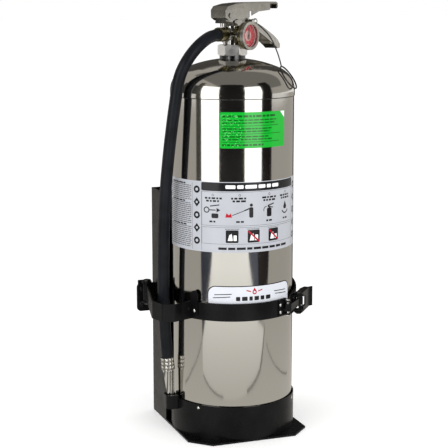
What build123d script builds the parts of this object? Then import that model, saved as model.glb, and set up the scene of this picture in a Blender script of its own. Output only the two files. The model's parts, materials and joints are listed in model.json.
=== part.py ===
from build123d import *
import math
import os

# A stored-pressure water fire extinguisher standing in its wall and vehicle bracket.
# Millimetres. The origin is on the cylinder's axis, on the underside of the bracket's base plate.
# +Z is up, -Y is the front (away from the wall), +X is to the right seen from the front.
# Azimuths are in degrees round the cylinder: 0 is the front and +90 is the +X side.

# ---------------------------------------------------------------- driving dimensions
# Cylinder
SHELL_R = 88.9            # outside radius of the stainless steel cylinder
SHELL_WALL = 1.2
SHELL_BOTTOM = 6.5        # the cylinder's lower edge, on the rubber pad
SEAM_Z = 492.0            # lower edge of the dome's overlapping lip
LIP_LENGTH = 6.0
KNUCKLE_R = 34.1          # shoulder radius of the dome, on the cylinder's own radius
CROWN_Z = 542.3           # height of the dome where it meets the neck
LIP_WALL = 0.9            # how far the dome's lip stands proud of the cylinder
NECK_R = 18.5

# Valve, in its own frame: +X along the lever, -Y towards the gauge
VALVE_TURN = 32.0         # turn of the valve's frame about the cylinder's axis, in degrees
NUT_LOW = 548.0
NUT_HIGH = 563.0
NUT_ACROSS_FLATS = 37.5
NUT_TURN = -20.5          # one of the nut's flats faces this azimuth
COLUMN_R = 13.3
BLOCK_LOW = 588.6
BLOCK_HIGH = 600.0
BLOCK_HALF_WIDTH = 9.3
CHAMBER_R = 7.5
SEAT_Z = 570.0
STEM_R = 3.0
GAUGE_Z = 576.0
GAUGE_R = 20.0
GAUGE_FRONT = 33.0        # the bezel's front face, from the cylinder's axis
OUTLET_Z = 578.0

# Lever and carry handle
LEVER_WIDTH = 26.6
LEVER_WALL = 1.6
LEVER_PIVOT = (-22.0, 604.5)
LEVER_TIP = 95.0
HANDLE_WIDTH = 22.6
HANDLE_WALL = 1.8
PULL_PIN = (26.0, 596.0)
PULL_PIN_R = 2.0

# Hose and the pull pin's tether: the route's points, from the valve outwards
HOSE = [
    (-16.961, -10.598, 578.0), (-37.908, -23.687, 578.0), (-60.4, -35.6, 567.5), (-80.1, -39.9, 548.1),
    (-93.0, -36.6, 522.7), (-96.6, -32.2, 492.0), (-100.6, -27.4, 455.0), (-104.3, -20.3, 408.0),
    (-107.3, -12.5, 350.0), (-107.9, -6.6, 287.0), (-107.7, -2.6, 226.0), (-106.5, -1.7, 163.0),
    (-101.6, -3.5, 97.5),
]
TETHER = [
    (35.9, -8.0, 592.0), (42.6, -10.6, 585.4), (50.6, -17.4, 575.4), (54.6, -27.2, 560.6),
    (57.2, -36.4, 545.8), (57.4, -43.45, 534.3),
]
HOSE_R = 8.5
FERRULE_R = 10.0
LOW_FERRULE_R = 9.6
TETHER_R = 0.95

# Bracket
PLATE_T = 3.0             # base plate
CUP_GAP = 1.1             # between the cylinder and the cup
CUP_WALL = 1.5
CUP_HIGH = 52.0
PAD_T = 2.0
CHANNEL_SIDE_GAP = 0.5    # between the cup and the channel's outside, seen from the front
CHANNEL_T = 2.0
CHANNEL_HIGH = 348.0
CHANNEL_FRONT = 38.0      # the flanges' front edges
BACK_GAP = 3.5            # between the cup and the cross plate
CROSS_T = 3.0
CROSS_LOW = 159.0
CROSS_HIGH = 202.0
CROSS_PAST_HINGE = 12.0
PLATE_CHAMFER = 28.0
WALL_HOLE_R = 4.5
WALL_HOLE_SPACING_X = 100.0
WALL_HOLE_SPACING_Z = 254.0
WALL_HOLE_LOW = 63.0

# Band and latch
BAND_LOW = 178.5
BAND_HEIGHT = 25.4
BAND_T = 2.0
LINING_GAP = 0.3          # between the lining and the cylinder
LINING_T = 1.5
BAND_END_AZ = 36.0
LOOP_AZ = -60.0           # where the band leaves the cylinder for the hose
HINGE_OUT = 17.1          # from the cylinder's side to the hinge's axis
HINGE_FORWARD = 11.0      # from the cross plate's front to the hinge's axis
HINGE_PIN_R = 3.0
RUNNING_GAP = 0.05        # radial clearance of every pin that turns
ARM_LINING_T = 2.8        # between the lining gap and the fixed arm
ARM_T = 2.5
ARM_END_AZ = 45.0
LATCH_AZ = 52.0
PIVOT_OUT = 6.5           # the latch lever's pivot, from the fixed arm's outside
KEEPER_AZ = 33.0
KEEPER_OUT = 6.3          # the keeper's pin, from the band's outside
KEEPER_PIN_R = 2.0

# ---------------------------------------------------------------- derived sizes
SHELL_IN = SHELL_R - SHELL_WALL
CUP_IN = SHELL_R + CUP_GAP
CUP_OUT = CUP_IN + CUP_WALL
KNUCKLE_Z = SEAM_Z + LIP_LENGTH
HALF_WIDTH = CUP_OUT + CHANNEL_SIDE_GAP
CROSS_FRONT = CUP_OUT + BACK_GAP
WEB_FRONT = CROSS_FRONT + CROSS_T
BACK = WEB_FRONT + CHANNEL_T
LINING_IN = SHELL_R + LINING_GAP
BAND_IN = LINING_IN + LINING_T
BAND_OUT = BAND_IN + BAND_T
BAND_MID = (BAND_IN + BAND_OUT) / 2
BAND_HIGH = BAND_LOW + BAND_HEIGHT
ARM_R = LINING_IN + ARM_LINING_T
ARM_OUT = ARM_R + ARM_T
PIVOT_R = ARM_OUT + PIVOT_OUT
KEEPER_R = BAND_OUT + KEEPER_OUT
HINGE = (-SHELL_R - HINGE_OUT, CROSS_FRONT - HINGE_FORWARD)
NUT_MID = NUT_HIGH - 3.5

LOW = (Align.CENTER, Align.CENTER, Align.MIN)
VALVE = Rot(0, 0, VALVE_TURN)


# ---------------------------------------------------------------- helpers
def plan(radius, azimuth):
    """The point at this radius and azimuth, in plan."""
    a = math.radians(azimuth)
    return (radius * math.sin(a), -radius * math.cos(a))


def disc(radius, low, high, at=(0, 0)):
    return Pos(at[0], at[1], low) * Cylinder(radius, high - low, align=LOW)


def ring(outer, inner, low, high, at=(0, 0)):
    return disc(outer, low, high, at) - disc(inner, low, high, at)


def block(x, y, z):
    """A box from pairs of limits."""
    middle = Pos((x[0] + x[1]) / 2, (y[0] + y[1]) / 2, (z[0] + z[1]) / 2)
    return middle * Box(x[1] - x[0], y[1] - y[0], z[1] - z[0])


def slab(points, low, high):
    """A polygon in plan, raised from low to high."""
    return Pos(0, 0, low) * extrude(make_face(Polyline(*points, close=True)), amount=high - low)


def side_plate(points, low, high):
    """A polygon in X and Z, as a plate from Y = low to Y = high."""
    outline = Plane.XZ * make_face(Polyline(*points, close=True))
    return Pos(0, high, 0) * extrude(outline, amount=high - low)


def curved_strap(inner, outer, az_from, az_to, low, high):
    """A strap bent round the cylinder's axis."""
    middle = (az_from + az_to) / 2
    near = ThreePointArc(plan(inner, az_from), plan(inner, middle), plan(inner, az_to))
    far = ThreePointArc(plan(outer, az_to), plan(outer, middle), plan(outer, az_from))
    sides = Line(plan(inner, az_to), plan(outer, az_to)) + Line(plan(outer, az_from), plan(inner, az_from))
    return Pos(0, 0, low) * extrude(make_face(near + sides + far), amount=high - low)


def bent_strip(points, radii, thickness, low, high):
    """A strip on edge that follows a path in plan."""
    path = FilletPolyline(*points, radius=radii)
    return Pos(0, 0, low) * extrude(trace(path, line_width=thickness), amount=high - low)


def along_y(radius, y_from, y_to, x, z):
    """A round bar along Y."""
    return Pos(x, y_to, z) * Rot(90, 0, 0) * Cylinder(radius, y_to - y_from, align=LOW)


def along_x(radius, x_from, x_to, y, z):
    """A round bar along X."""
    return Pos(x_from, y, z) * Rot(0, 90, 0) * Cylinder(radius, x_to - x_from, align=LOW)


def cord_tube(points, radius):
    """A round cord on straight runs and arcs, each arc as large as its two runs allow."""
    at = [Vector(*p) for p in points]
    runs = [b - a for a, b in zip(at, at[1:])]
    radii = []
    for before, after in zip(runs, runs[1:]):
        half_turn = math.radians(before.get_angle(after)) / 2
        radii.append(0.45 * min(before.length, after.length) / math.tan(half_turn))
    path = FilletPolyline(*at, radius=radii)
    section = Plane(path @ 0, z_dir=path % 0) * Circle(radius)
    tube = sweep(section, path)
    print("cord radii", [round(r) for r in radii], "length", round(path.length, 1))
    ratio = tube.volume / (math.pi * radius**2 * path.length)
    print("cord volume over section times length", round(ratio, 4))
    return tube


def group(*pieces, at=Pos(0, 0, 0)):
    """Separate solids kept as one node, each moved to its place first."""
    return Compound(children=[at * solid for piece in pieces for solid in piece.solids()])


# ---------------------------------------------------------------- bracket
def base_plate():
    front = -HALF_WIDTH
    corners = [
        (-HALF_WIDTH, BACK), (HALF_WIDTH, BACK),
        (HALF_WIDTH, front + PLATE_CHAMFER), (HALF_WIDTH - PLATE_CHAMFER, front),
        (PLATE_CHAMFER - HALF_WIDTH, front), (-HALF_WIDTH, front + PLATE_CHAMFER),
    ]
    return slab(corners, 0, PLATE_T)


CUP_RIVET_AZ = (-53.0, 53.0)
CUP_RIVET_R = 1.6
CUP_RIVET_Z = 47.0
CUP_FLOOR = PLATE_T + CUP_WALL


def radial_bar(radius, r_from, r_to, azimuth, z):
    """A round bar that points away from the cylinder's axis."""
    return Rot(0, 0, azimuth) * along_y(radius, -r_to, -r_from, 0, z)


def base_cup():
    cup = disc(CUP_OUT, PLATE_T, CUP_HIGH) - disc(CUP_IN, CUP_FLOOR, CUP_HIGH)
    for az in CUP_RIVET_AZ:
        cup -= radial_bar(CUP_RIVET_R, CUP_IN - 1, CUP_OUT + 1, az, CUP_RIVET_Z)
    return cup


def dome_head(radius, height):
    """A rivet's domed head, standing on the XY plane."""
    sphere_r = (radius**2 + height**2) / (2 * height)
    ball = Pos(0, 0, height - sphere_r) * Sphere(sphere_r)
    return ball & Cylinder(radius + 1, height, align=LOW)


def headed_rivet(wall_r, inside_r, radius, head_r, head_t):
    """A rivet along -Y through a wall that is curved about the cylinder's axis, at its outside radius."""
    head = Pos(0, 0.3 - wall_r, 0) * Rot(90, 0, 0) * dome_head(head_r, head_t) - disc(wall_r, -9, 9)
    return head + along_y(radius, -wall_r - 0.3, -inside_r, 0, 0)


def cup_rivets():
    rivet = headed_rivet(CUP_OUT, CUP_IN + 0.1, CUP_RIVET_R, 2.6, 1.4)
    return group(*[Rot(0, 0, az) * Pos(0, 0, CUP_RIVET_Z) * rivet for az in CUP_RIVET_AZ])


def base_pad():
    return ring(CUP_IN - 0.5, 30, CUP_FLOOR, CUP_FLOOR + PAD_T)


def channel_section(front, low, high):
    """A U in plan with its open side to the front."""
    outside = block((-HALF_WIDTH, HALF_WIDTH), (front, BACK), (low, high))
    inside = HALF_WIDTH - CHANNEL_T
    return outside - block((-inside, inside), (front, WEB_FRONT), (low, high))


ARM_RIVET_Y = 52.0
ARM_RIVET_Z = (188.0, 207.0)
ARM_RIVET_R = 2.5
CROSS_RIVET_R = 3.0
CROSS_RIVETS = [(x, z) for x in (-70.0, 70.0) for z in (169.0, 192.0)]


def back_channel():
    channel = channel_section(CHANNEL_FRONT, PLATE_T, CHANNEL_HIGH)
    top_corner = 8.0
    corner = [
        (CHANNEL_FRONT, CHANNEL_HIGH), (CHANNEL_FRONT, CHANNEL_HIGH - top_corner),
        (CHANNEL_FRONT + top_corner, CHANNEL_HIGH),
    ]
    cut = Plane.YZ * make_face(Polyline(*corner, close=True))
    channel -= extrude(cut, amount=HALF_WIDTH + 1, both=True)
    slot_gap = 0.5
    channel -= block(
        (-HALF_WIDTH - 1, HALF_WIDTH + 1), (CROSS_FRONT - slot_gap, WEB_FRONT),
        (CROSS_LOW - slot_gap, CROSS_HIGH + slot_gap))
    for x in (-WALL_HOLE_SPACING_X / 2, WALL_HOLE_SPACING_X / 2):
        for z in (WALL_HOLE_LOW, WALL_HOLE_LOW + WALL_HOLE_SPACING_Z):
            channel -= along_y(WALL_HOLE_R, WEB_FRONT - 1, BACK + 1, x, z)
    for x, z in CROSS_RIVETS:
        channel -= along_y(CROSS_RIVET_R, WEB_FRONT - 1, BACK + 1, x, z)
    for z in ARM_RIVET_Z:
        channel -= along_x(ARM_RIVET_R, HALF_WIDTH - 5, HALF_WIDTH + 1, ARM_RIVET_Y, z)
    return channel


CLEVIS_RIVETS = [(HINGE[0] - 4, 170.0), (HINGE[0] - 4, 194.0)]
CLEVIS_T = 2.0


def cross_plate():
    right = HALF_WIDTH + 4
    left = HINGE[0] - CROSS_PAST_HINGE
    plate = block((left, right), (CROSS_FRONT, WEB_FRONT), (CROSS_LOW, CROSS_HIGH))
    plate = fillet(plate.edges().filter_by(Axis.Y), 6)
    for x, z in CROSS_RIVETS + CLEVIS_RIVETS:
        plate -= along_y(CROSS_RIVET_R, CROSS_FRONT - 1, WEB_FRONT + 1, x, z)
    return plate


def cross_rivets():
    head = Pos(0, CROSS_FRONT, 0) * Rot(90, 0, 0) * dome_head(5.5, 2.4)
    shank = along_y(CROSS_RIVET_R, CROSS_FRONT, BACK, 0, 0)
    return group(*[Pos(x, 0, z) * (head + shank) for x, z in CROSS_RIVETS])


def clevis_rivets():
    front = CROSS_FRONT - CLEVIS_T
    head = Pos(0, front, 0) * Rot(90, 0, 0) * dome_head(4.6, 2.0)
    shank = along_y(CROSS_RIVET_R, front, WEB_FRONT, 0, 0)
    return group(*[Pos(x, 0, z) * (head + shank) for x, z in CLEVIS_RIVETS])


EAR_GAP = 1.0
EAR_T = 3.0
EAR_R = 7.5


def hinge_clevis():
    front = CROSS_FRONT - CLEVIS_T
    x, y = HINGE
    upper = BAND_HIGH + EAR_GAP
    lower = BAND_LOW - EAR_GAP - EAR_T
    clevis = block((x - 11, x + 9), (front, CROSS_FRONT), (CROSS_LOW + 3, upper + EAR_T))
    for low in (lower, upper):
        ear = disc(EAR_R, low, low + EAR_T, HINGE)
        ear += block((x - EAR_R, x + EAR_R), (y, CROSS_FRONT), (low, low + EAR_T))
        clevis += ear
    clevis -= disc(HINGE_PIN_R, lower - 1, upper + EAR_T + 1, HINGE)
    for rivet_x, z in CLEVIS_RIVETS:
        clevis -= along_y(CROSS_RIVET_R, front - 1, CROSS_FRONT + 1, rivet_x, z)
    return clevis


def headed_pin(radius, low, high, head_r, head_t, at):
    """A pin on a vertical axis with a head at each end."""
    pin = disc(radius, low - head_t, high + head_t, at)
    pin += disc(head_r, high, high + head_t, at)
    return pin + disc(head_r, low - head_t, low, at)


def hinge_pin():
    upper = BAND_HIGH + EAR_GAP + EAR_T
    lower = BAND_LOW - EAR_GAP - EAR_T
    return headed_pin(HINGE_PIN_R, lower, upper, 4.6, 2.4, HINGE)


ARM_LOW = 177.0
ARM_HIGH = 218.0
ARM_TIP_HIGH = 206.0


def clamp_arm():
    arm = curved_strap(ARM_R, ARM_OUT, ARM_END_AZ, 90, ARM_LOW, ARM_HIGH)
    arm += block((ARM_R, ARM_OUT), (0, 68), (ARM_LOW, ARM_HIGH))
    tip_y = plan(ARM_R, ARM_END_AZ)[1]
    past, over = tip_y - 5, ARM_HIGH + 5
    taper = [(0, ARM_HIGH), (tip_y, ARM_TIP_HIGH), (past, ARM_TIP_HIGH), (past, over), (0, over)]
    cut = Plane.YZ * make_face(Polyline(*taper, close=True))
    arm -= extrude(cut, amount=ARM_OUT + 5, both=True)
    for z in ARM_RIVET_Z:
        arm -= along_x(ARM_RIVET_R, ARM_R - 1, ARM_OUT + 1, ARM_RIVET_Y, z)
    return arm


def arm_rivets():
    inside = HALF_WIDTH - CHANNEL_T
    head = Pos(ARM_OUT, 0, 0) * Rot(0, 90, 0) * dome_head(4.6, 2.0)
    shank = along_x(ARM_RIVET_R, inside, ARM_OUT, 0, 0)
    return group(*[Pos(0, ARM_RIVET_Y, z) * (head + shank) for z in ARM_RIVET_Z])


def arm_lining():
    return curved_strap(LINING_IN, ARM_R, ARM_END_AZ + 2, 88, BAND_LOW + 1.5, BAND_HIGH - 1.5)


REST_BORE_R = 7.0
REST_HIGH = 56.0


def nozzle_at(z):
    """The nozzle's axis at this height, in plan: the hose's last run, carried on."""
    before, end = Vector(*HOSE[-2]), Vector(*HOSE[-1])
    point = end + (end - before) * ((z - end.Z) / (end.Z - before.Z))
    return (point.X, point.Y)


def nozzle_rest():
    x, y = nozzle_at(REST_HIGH - 6)
    body = block((x - 9, x + 14), (y - 12, y + 12), (REST_HIGH - 20, REST_HIGH))
    body = fillet(body.edges().filter_by(Axis.Z), 8)
    body -= disc(CUP_OUT, 30, 60)
    return body - disc(REST_BORE_R, REST_HIGH - 14, 60, (x, y))


# ---------------------------------------------------------------- latch
# The latch's own frame: X towards the keeper, Y away from the cylinder's axis.
LATCH = Rot(0, 0, 180 + LATCH_AZ)
EAR_LOW = (179.6, 182.0)
EAR_UP = (201.0, 203.4)
LATCH_LOW = 177.0
LATCH_HIGH = 206.0
LATCH_T = 2.0
PIVOT_PIN_R = 2.5
PIVOT_RING_R = 5.9
CLAW_PIN = (-12.0, PIVOT_R - 1.0)
CLAW_PIN_R = 2.0
CLAW_LOW = 186.0
CLAW_HIGH = 197.0
LATCH_LENGTH = 44.0


def latch_point(x, y):
    """A point of the latch's frame, in the part's frame."""
    a = math.radians(180 + LATCH_AZ)
    return (x * math.cos(a) - y * math.sin(a), x * math.sin(a) + y * math.cos(a))


def keeper_in_latch():
    """The keeper pin's place in the latch's frame."""
    a = math.radians(LATCH_AZ - KEEPER_AZ)
    return (KEEPER_R * math.sin(a), KEEPER_R * math.cos(a))


def latch_base():
    low, high = EAR_LOW[0], EAR_UP[1]
    base = LATCH.inverse() * curved_strap(ARM_OUT, ARM_OUT + 1.6, LATCH_AZ - 6.5, LATCH_AZ + 6.5, low, high)
    for ear_low, ear_high in (EAR_LOW, EAR_UP):
        ear = disc(PIVOT_RING_R, ear_low, ear_high, (0, PIVOT_R))
        ear += block((-PIVOT_RING_R, PIVOT_RING_R), (ARM_OUT + 0.8, PIVOT_R), (ear_low, ear_high))
        base += ear
    return LATCH * (base - disc(PIVOT_PIN_R, low - 1, high + 1, (0, PIVOT_R)))


def latch_pivot_pins():
    at = (0, PIVOT_R)
    gap, head = 0.2, 1.4
    under = disc(PIVOT_PIN_R, LATCH_LOW - gap - head, EAR_LOW[1] + 1, at)
    under += disc(4, LATCH_LOW - gap - head, LATCH_LOW - gap, at)
    over = disc(PIVOT_PIN_R, EAR_UP[0] - 1, LATCH_HIGH + gap + head, at)
    over += disc(4, LATCH_HIGH + gap, LATCH_HIGH + gap + head, at)
    return group(under, over, at=LATCH)


def latch_lever():
    """A channel with its back outwards: two flanges on the pivot, and a bent-out finger end."""
    web_y = PIVOT_R + 3.5
    flange = [
        (0, PIVOT_R + PIVOT_RING_R), (-LATCH_LENGTH, web_y + LATCH_T), (-LATCH_LENGTH, web_y - 6),
        (-30, web_y - 9), (-14, PIVOT_R - 4.6), (0, PIVOT_R - PIVOT_RING_R),
    ]
    start, tip = -20.0, (-LATCH_LENGTH - 6, web_y + 4.5)
    path = [(start, web_y + LATCH_T / 2), (-LATCH_LENGTH, web_y + LATCH_T / 2), tip]
    lever = bent_strip(path, 4, LATCH_T, LATCH_LOW, LATCH_HIGH)
    for low in (LATCH_LOW, LATCH_HIGH - LATCH_T):
        lever += slab(flange, low, low + LATCH_T)
        lever += disc(PIVOT_RING_R, low, low + LATCH_T, (0, PIVOT_R))
    for low, high in ((LATCH_LOW, CLAW_LOW - 2), (CLAW_HIGH + 2, LATCH_HIGH)):
        lever += block((start - 1, CLAW_PIN[0] + 4), (web_y, web_y + LATCH_T), (low, high))
    lever -= disc(PIVOT_PIN_R + RUNNING_GAP, LATCH_LOW - 1, LATCH_HIGH + 1, (0, PIVOT_R))
    return LATCH * (lever - disc(CLAW_PIN_R, LATCH_LOW - 1, LATCH_HIGH + 1, CLAW_PIN))


def claw_pin():
    return LATCH * headed_pin(CLAW_PIN_R, LATCH_LOW, LATCH_HIGH, 3.2, 1.2, CLAW_PIN)


def latch_claw():
    keeper_x, keeper_y = keeper_in_latch()
    thick, gap = 3.0, 0.3
    reach = KEEPER_PIN_R + gap + thick / 2
    path = [
        CLAW_PIN, (keeper_x - 12, keeper_y + reach + 0.8), (keeper_x + reach, keeper_y + reach + 0.2),
        (keeper_x + reach, keeper_y - 2.2),
    ]
    claw = bent_strip(path, [8, 3.2], thick, CLAW_LOW, CLAW_HIGH)
    claw += disc(4.6, CLAW_LOW, CLAW_HIGH, CLAW_PIN)
    return LATCH * (claw - disc(CLAW_PIN_R + RUNNING_GAP, CLAW_LOW - 1, CLAW_HIGH + 1, CLAW_PIN))


# ---------------------------------------------------------------- band
LOOP = [(-18.1, -6.6), (-30.6, -13.1), (-45.1, -6.1), (-52.6, 18.9)]   # from where it leaves the cylinder
LOOP_RADII = [3.0, 7.0, 7.0, 10.0]
EYE_R = 6.0
KEEPER_RIVET_AZ = 26.5
KEEPER_RIVET_Z = (185.5, 196.0)
KEEPER_FROM_AZ = 24.5
KEEPER_T = 2.0
TAB_RIVET_Z = 191.0
TAB_AZ = -56.0
TAB_T = 1.6
TAB_HALF = 6.0
TAB_TOP = 220.0
BAND_RIVET_R = 1.6


def band_rivet_holes():
    """The bars that pierce the band for its rivets."""
    holes = [radial_bar(BAND_RIVET_R, BAND_IN - 2, BAND_OUT + 4, KEEPER_RIVET_AZ, z) for z in KEEPER_RIVET_Z]
    return holes + [radial_bar(BAND_RIVET_R, BAND_IN - 2, BAND_OUT + 4, TAB_AZ, TAB_RIVET_Z)]


def strap_band():
    band = curved_strap(BAND_IN, BAND_OUT, LOOP_AZ, BAND_END_AZ, BAND_LOW, BAND_HIGH)
    x, y = plan(BAND_MID, LOOP_AZ)
    loop = [(x, y), *[(x + across, y + along) for across, along in LOOP], HINGE]
    band += bent_strip(loop, LOOP_RADII, BAND_T, BAND_LOW, BAND_HIGH)
    band += disc(EYE_R, BAND_LOW, BAND_HIGH, HINGE)
    band -= disc(HINGE_PIN_R + RUNNING_GAP, BAND_LOW - 1, BAND_HIGH + 1, HINGE)
    for hole in band_rivet_holes():
        band -= hole
    return band


def strap_lining():
    return curved_strap(LINING_IN, BAND_IN, LOOP_AZ + 3, BAND_END_AZ - 2, BAND_LOW + 1.5, BAND_HIGH - 1.5)


def keeper():
    low, high = BAND_LOW + 1, BAND_HIGH - 1
    plate = curved_strap(BAND_OUT, BAND_OUT + KEEPER_T, KEEPER_FROM_AZ, BAND_END_AZ, low, high)
    turned = Rot(0, 0, 180 + KEEPER_AZ)
    for low in (BAND_LOW + 2.3, BAND_HIGH - 4.7):
        ear = disc(4.2, low, low + 2.4, (0, KEEPER_R))
        ear += block((-4.2, 4.2), (BAND_OUT + 1, KEEPER_R), (low, low + 2.4))
        plate += turned * ear
    plate -= disc(KEEPER_PIN_R, BAND_LOW, BAND_HIGH, plan(KEEPER_R, KEEPER_AZ))
    for hole in band_rivet_holes():
        plate -= hole
    return plate


def keeper_pin():
    low, high = BAND_LOW + 2.3, BAND_HIGH - 2.3
    return headed_pin(KEEPER_PIN_R, low, high, 3.0, 1.2, plan(KEEPER_R, KEEPER_AZ))


def keeper_rivets():
    rivet = headed_rivet(BAND_OUT + KEEPER_T, BAND_IN + 0.1, BAND_RIVET_R, 2.8, 1.3)
    return group(*[Rot(0, 0, KEEPER_RIVET_AZ) * Pos(0, 0, z) * rivet for z in KEEPER_RIVET_Z])


def strap_tab():
    """An upright tab on the band, beside the hose loop, that steadies the hose."""
    outline = block((-TAB_HALF, TAB_HALF), (-BAND_OUT - 9, 0), (BAND_LOW + 6, TAB_TOP - TAB_HALF))
    outline += along_y(TAB_HALF, -BAND_OUT - 9, 0, 0, TAB_TOP - TAB_HALF)
    tab = ring(BAND_OUT + TAB_T, BAND_OUT, BAND_LOW, TAB_TOP + 1) & Rot(0, 0, TAB_AZ) * outline
    return tab - radial_bar(BAND_RIVET_R, BAND_IN, BAND_OUT + 4, TAB_AZ, TAB_RIVET_Z) - strap_band()


def tab_rivet():
    rivet = headed_rivet(BAND_OUT + TAB_T, BAND_IN + 0.1, BAND_RIVET_R, 2.8, 1.3)
    return Rot(0, 0, TAB_AZ) * Pos(0, 0, TAB_RIVET_Z) * rivet


# ---------------------------------------------------------------- cylinder
def crown_radius(rise):
    """The crown arc that is tangent to the knuckle and passes the neck's edge at the top."""
    flat = SHELL_R - KNUCKLE_R
    # The crown's centre is on the axis, a below the top: (R - k)^2 = flat^2 + (a - rise)^2
    # and R^2 = NECK_R^2 + a^2.
    drop = flat**2 + rise**2 - NECK_R**2 - KNUCKLE_R**2
    p, q = rise / KNUCKLE_R, drop / (2 * KNUCKLE_R)
    qa, qb, qc = p * p - 1, -2 * p * q, q * q - NECK_R**2
    a = (-qb + math.sqrt(qb * qb - 4 * qa * qc)) / (2 * qa)
    return p * a - q, a


def dome_profile(offset):
    """The dome's line in X and Z, moved out by offset, from the axis down to the end of the knuckle."""
    radius, below = crown_radius(CROWN_Z - KNUCKLE_Z)
    centre_z = CROWN_Z - below
    flat = SHELL_R - KNUCKLE_R
    turn = math.atan2(flat, KNUCKLE_Z - centre_z)
    crown, knuckle = radius + offset, KNUCKLE_R + offset

    def on_crown(angle):
        return (crown * math.sin(angle), centre_z + crown * math.cos(angle))

    def on_knuckle(angle):
        return (flat + knuckle * math.sin(angle), KNUCKLE_Z + knuckle * math.cos(angle))

    middle = (turn + math.pi / 2) / 2
    top = ThreePointArc(on_crown(0), on_crown(turn / 2), on_crown(turn))
    return top + ThreePointArc(on_knuckle(turn), on_knuckle(middle), on_knuckle(math.pi / 2))


def dome_solid(offset):
    """All the space under the dome's line, down to the end of the knuckle."""
    line = dome_profile(offset)
    close = Polyline((SHELL_R + offset, KNUCKLE_Z), (0, KNUCKLE_Z), line @ 0)
    return revolve(Plane.XZ * make_face(line + close), axis=Axis.Z)


def cylinder_shell():
    return ring(SHELL_R, SHELL_IN, SHELL_BOTTOM, KNUCKLE_Z)


def top_dome():
    """The dome's lip goes over the cylinder's top edge, and its wall carries on above it."""
    dome = dome_solid(LIP_WALL) - dome_solid(LIP_WALL - SHELL_WALL)
    dome += ring(SHELL_R + LIP_WALL, SHELL_R, SEAM_Z, KNUCKLE_Z)
    return dome - disc(NECK_R, KNUCKLE_Z, CROWN_Z + 10)


def bottom_head():
    """A dished head that bulges down inside the skirt, with a flange against the wall."""
    dish_r, wall = 150.0, 1.5
    sag = dish_r - math.sqrt(dish_r**2 - (SHELL_IN - wall)**2)
    base = SHELL_BOTTOM + 3.0 + sag
    bowl = Pos(0, 0, base - sag + dish_r) * (Sphere(dish_r) - Sphere(dish_r - wall))
    bowl &= disc(SHELL_IN, SHELL_BOTTOM, base + 1)
    return bowl + ring(SHELL_IN, SHELL_IN - wall, base - 0.5, base + 12)


def neck_ring():
    neck = disc(NECK_R, CROWN_Z - 6, NUT_LOW) + disc(NECK_R - 2.5, NUT_LOW, NUT_LOW + 7)
    return neck - disc(CHAMBER_R + 6, CROWN_Z - 10, NUT_HIGH)


def neck_gasket():
    return ring(NECK_R - 2.6, COLUMN_R + 0.3, NUT_LOW + 7, NUT_LOW + 8)


def collar_nut():
    hexagon = RegularPolygon(NUT_ACROSS_FLATS / 2, 6, major_radius=False)
    nut = Pos(0, 0, NUT_LOW) * extrude(hexagon, amount=NUT_HIGH - NUT_LOW)
    corner = NUT_ACROSS_FLATS / 2 / math.cos(math.radians(30))
    limit = Pos(0, 0, (NUT_LOW + NUT_HIGH) / 2) * Cylinder(corner - 0.3, NUT_HIGH - NUT_LOW)
    limit = chamfer(limit.edges().filter_by(GeomType.CIRCLE), 1.6)
    nut &= limit
    nut -= disc(NECK_R - 2.5 + 0.02, NUT_LOW - 1, NUT_MID + 1.5)
    return Rot(0, 0, NUT_TURN) * (nut - disc(COLUMN_R + 0.3, NUT_LOW, NUT_HIGH + 1))


# ---------------------------------------------------------------- valve (in the valve's frame)
FLANGE_R = NECK_R - 2.7
BOSS_R = 8.0
BOSS_FRONT = 14.5
GAUGE_STEM_R = 4.8
OUTLET_BORE_R = 4.0
COUPLING_R = 9.0
FERRULE_START = 19.0
FERRULE_END = 34.0
FILL_Z = 571.0
FILL_R = 3.4
PIVOT_R_PIN = 2.2


def valve_body():
    body = disc(COLUMN_R, NUT_LOW - 14, BLOCK_LOW + 1)
    body += disc(FLANGE_R, NUT_LOW + 8, NUT_MID + 1.4)
    block_x = (LEVER_PIVOT[0] - 6, 20)
    body += block((-9, block_x[1]), (-BLOCK_HALF_WIDTH, BLOCK_HALF_WIDTH), (BLOCK_LOW, BLOCK_HIGH))
    body += block(block_x, (-BLOCK_HALF_WIDTH, BLOCK_HALF_WIDTH), (BLOCK_HIGH - 6.5, BLOCK_HIGH))
    body += disc(3.6, BLOCK_LOW, BLOCK_HIGH - 6, (LEVER_PIVOT[0] - 1, 0))
    lug_low, lug_high = BLOCK_HIGH - 1, LEVER_PIVOT[1] + 4.5
    lug = [
        (block_x[0], lug_low), (block_x[0] + 12, lug_low), (LEVER_PIVOT[0] + 5, lug_high),
        (block_x[0] + 2, lug_high),
    ]
    body += side_plate(lug, -BLOCK_HALF_WIDTH, BLOCK_HALF_WIDTH)
    body += along_y(BOSS_R, -BOSS_FRONT, 0, 0, GAUGE_Z)
    body += along_y(5.5, 0, COLUMN_R + 3, 0, FILL_Z)
    body += along_x(COUPLING_R + 1, -COLUMN_R - 2, 0, 0, OUTLET_Z)
    body -= disc(CHAMBER_R, NUT_LOW - 20, SEAT_Z)
    body -= disc(5.0, SEAT_Z - 1, SEAT_Z + 13)
    body -= disc(STEM_R + RUNNING_GAP, SEAT_Z, BLOCK_HIGH + 20)
    body -= along_x(OUTLET_BORE_R, -COLUMN_R - 5, 0, 0, OUTLET_Z)
    body -= along_x(COUPLING_R - 2, -COLUMN_R - 5, -COLUMN_R + 3, 0, OUTLET_Z)
    body -= along_y(GAUGE_STEM_R, -BOSS_FRONT - 1, -BOSS_FRONT + 4.5, 0, GAUGE_Z)
    body -= along_y(1.4, -BOSS_FRONT, -9.2, 0, GAUGE_Z)
    body -= disc(1.2, NUT_LOW - 20, GAUGE_Z, (0, -10.2))
    body -= along_y(0.8, CHAMBER_R - 1, COLUMN_R + 4, 0, SEAT_Z - 1.5)
    return VALVE * (body - along_y(PIVOT_R_PIN, -20, 20, *LEVER_PIVOT))


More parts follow.
